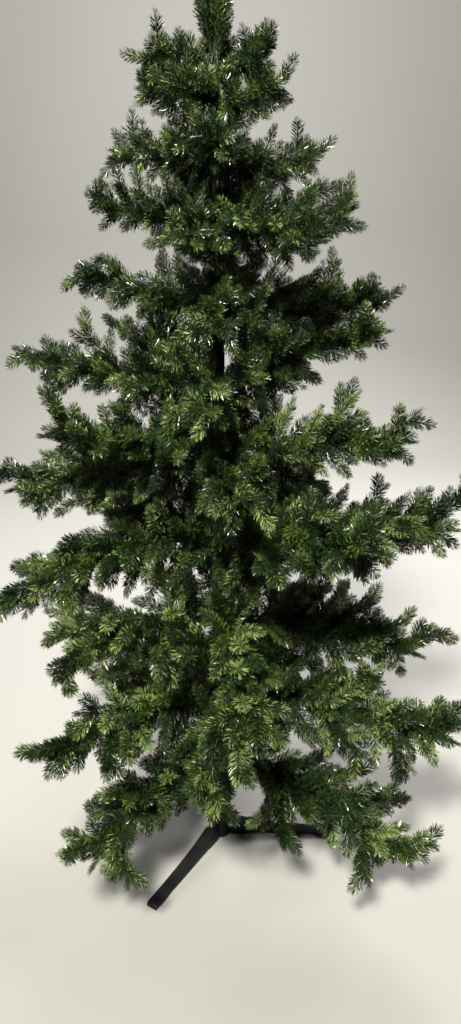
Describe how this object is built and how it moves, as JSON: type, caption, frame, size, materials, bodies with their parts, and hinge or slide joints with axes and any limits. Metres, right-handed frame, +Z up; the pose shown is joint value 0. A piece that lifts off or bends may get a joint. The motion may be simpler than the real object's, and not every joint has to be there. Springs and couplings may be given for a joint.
{
  "type": "artificial christmas tree",
  "caption": "Undecorated artificial christmas tree: wired boughs of plastic needles on a steel pole, standing in a three-legged plastic stand.",
  "frame": {"origin": "middle of the stand's flat underside, on the floor", "axes": "+Z up along the tree, -Y to the front, +X to the right as seen from the front"},
  "size_m": [1.0093, 1.0135, 1.7995],
  "materials": {
    "stand_plastic": "black moulded plastic",
    "pole_paint": "dark green painted steel tube",
    "bough_wire": "dark green twisted steel wire",
    "needles": "green plastic needles, satin"
  },
  "bodies": {
    "root": {"leader_foliage": "needles", "pole": "pole_paint", "stand_hub": "stand_plastic", "stand_leg_1": "stand_plastic", "stand_leg_2": "stand_plastic", "stand_leg_3": "stand_plastic", "tier_10_1_foliage": "needles", "tier_10_2_foliage": "needles", "tier_10_3_foliage": "needles", "tier_11_1_foliage": "needles", "tier_11_2_foliage": "needles", "tier_11_3_foliage": "needles", "tier_1_1_bough": "bough_wire", "tier_1_1_foliage": "needles", "tier_1_2_bough": "bough_wire", "tier_1_2_foliage": "needles", "tier_1_3_bough": "bough_wire", "tier_1_3_foliage": "needles", "tier_2_1_bough": "bough_wire", "tier_2_1_foliage": "needles", "tier_2_2_bough": "bough_wire", "tier_2_2_foliage": "needles", "tier_2_3_bough": "bough_wire", "tier_2_3_foliage": "needles", "tier_2_4_bough": "bough_wire", "tier_2_4_foliage": "needles", "tier_2_5_bough": "bough_wire", "tier_2_5_foliage": "needles", "tier_3_1_foliage": "needles", "tier_3_2_foliage": "needles", "tier_3_3_foliage": "needles", "tier_3_4_foliage": "needles", "tier_4_1_foliage": "needles", "tier_4_2_foliage": "needles", "tier_4_3_foliage": "needles", "tier_4_4_foliage": "needles", "tier_4_5_foliage": "needles", "tier_5_1_foliage": "needles", "tier_5_2_foliage": "needles", "tier_5_3_foliage": "needles", "tier_5_4_foliage": "needles", "tier_5_5_foliage": "needles", "tier_6_1_foliage": "needles", "tier_6_2_foliage": "needles", "tier_6_3_foliage": "needles", "tier_6_4_foliage": "needles", "tier_6_5_foliage": "needles", "tier_7_1_foliage": "needles", "tier_7_2_foliage": "needles", "tier_7_3_foliage": "needles", "tier_7_4_foliage": "needles", "tier_8_1_foliage": "needles", "tier_8_2_foliage": "needles", "tier_8_3_foliage": "needles", "tier_8_4_foliage": "needles", "tier_8_5_foliage": "needles", "tier_9_1_foliage": "needles", "tier_9_2_foliage": "needles", "tier_9_3_foliage": "needles", "tier_9_4_foliage": "needles"}
  },
  "joints": []
}
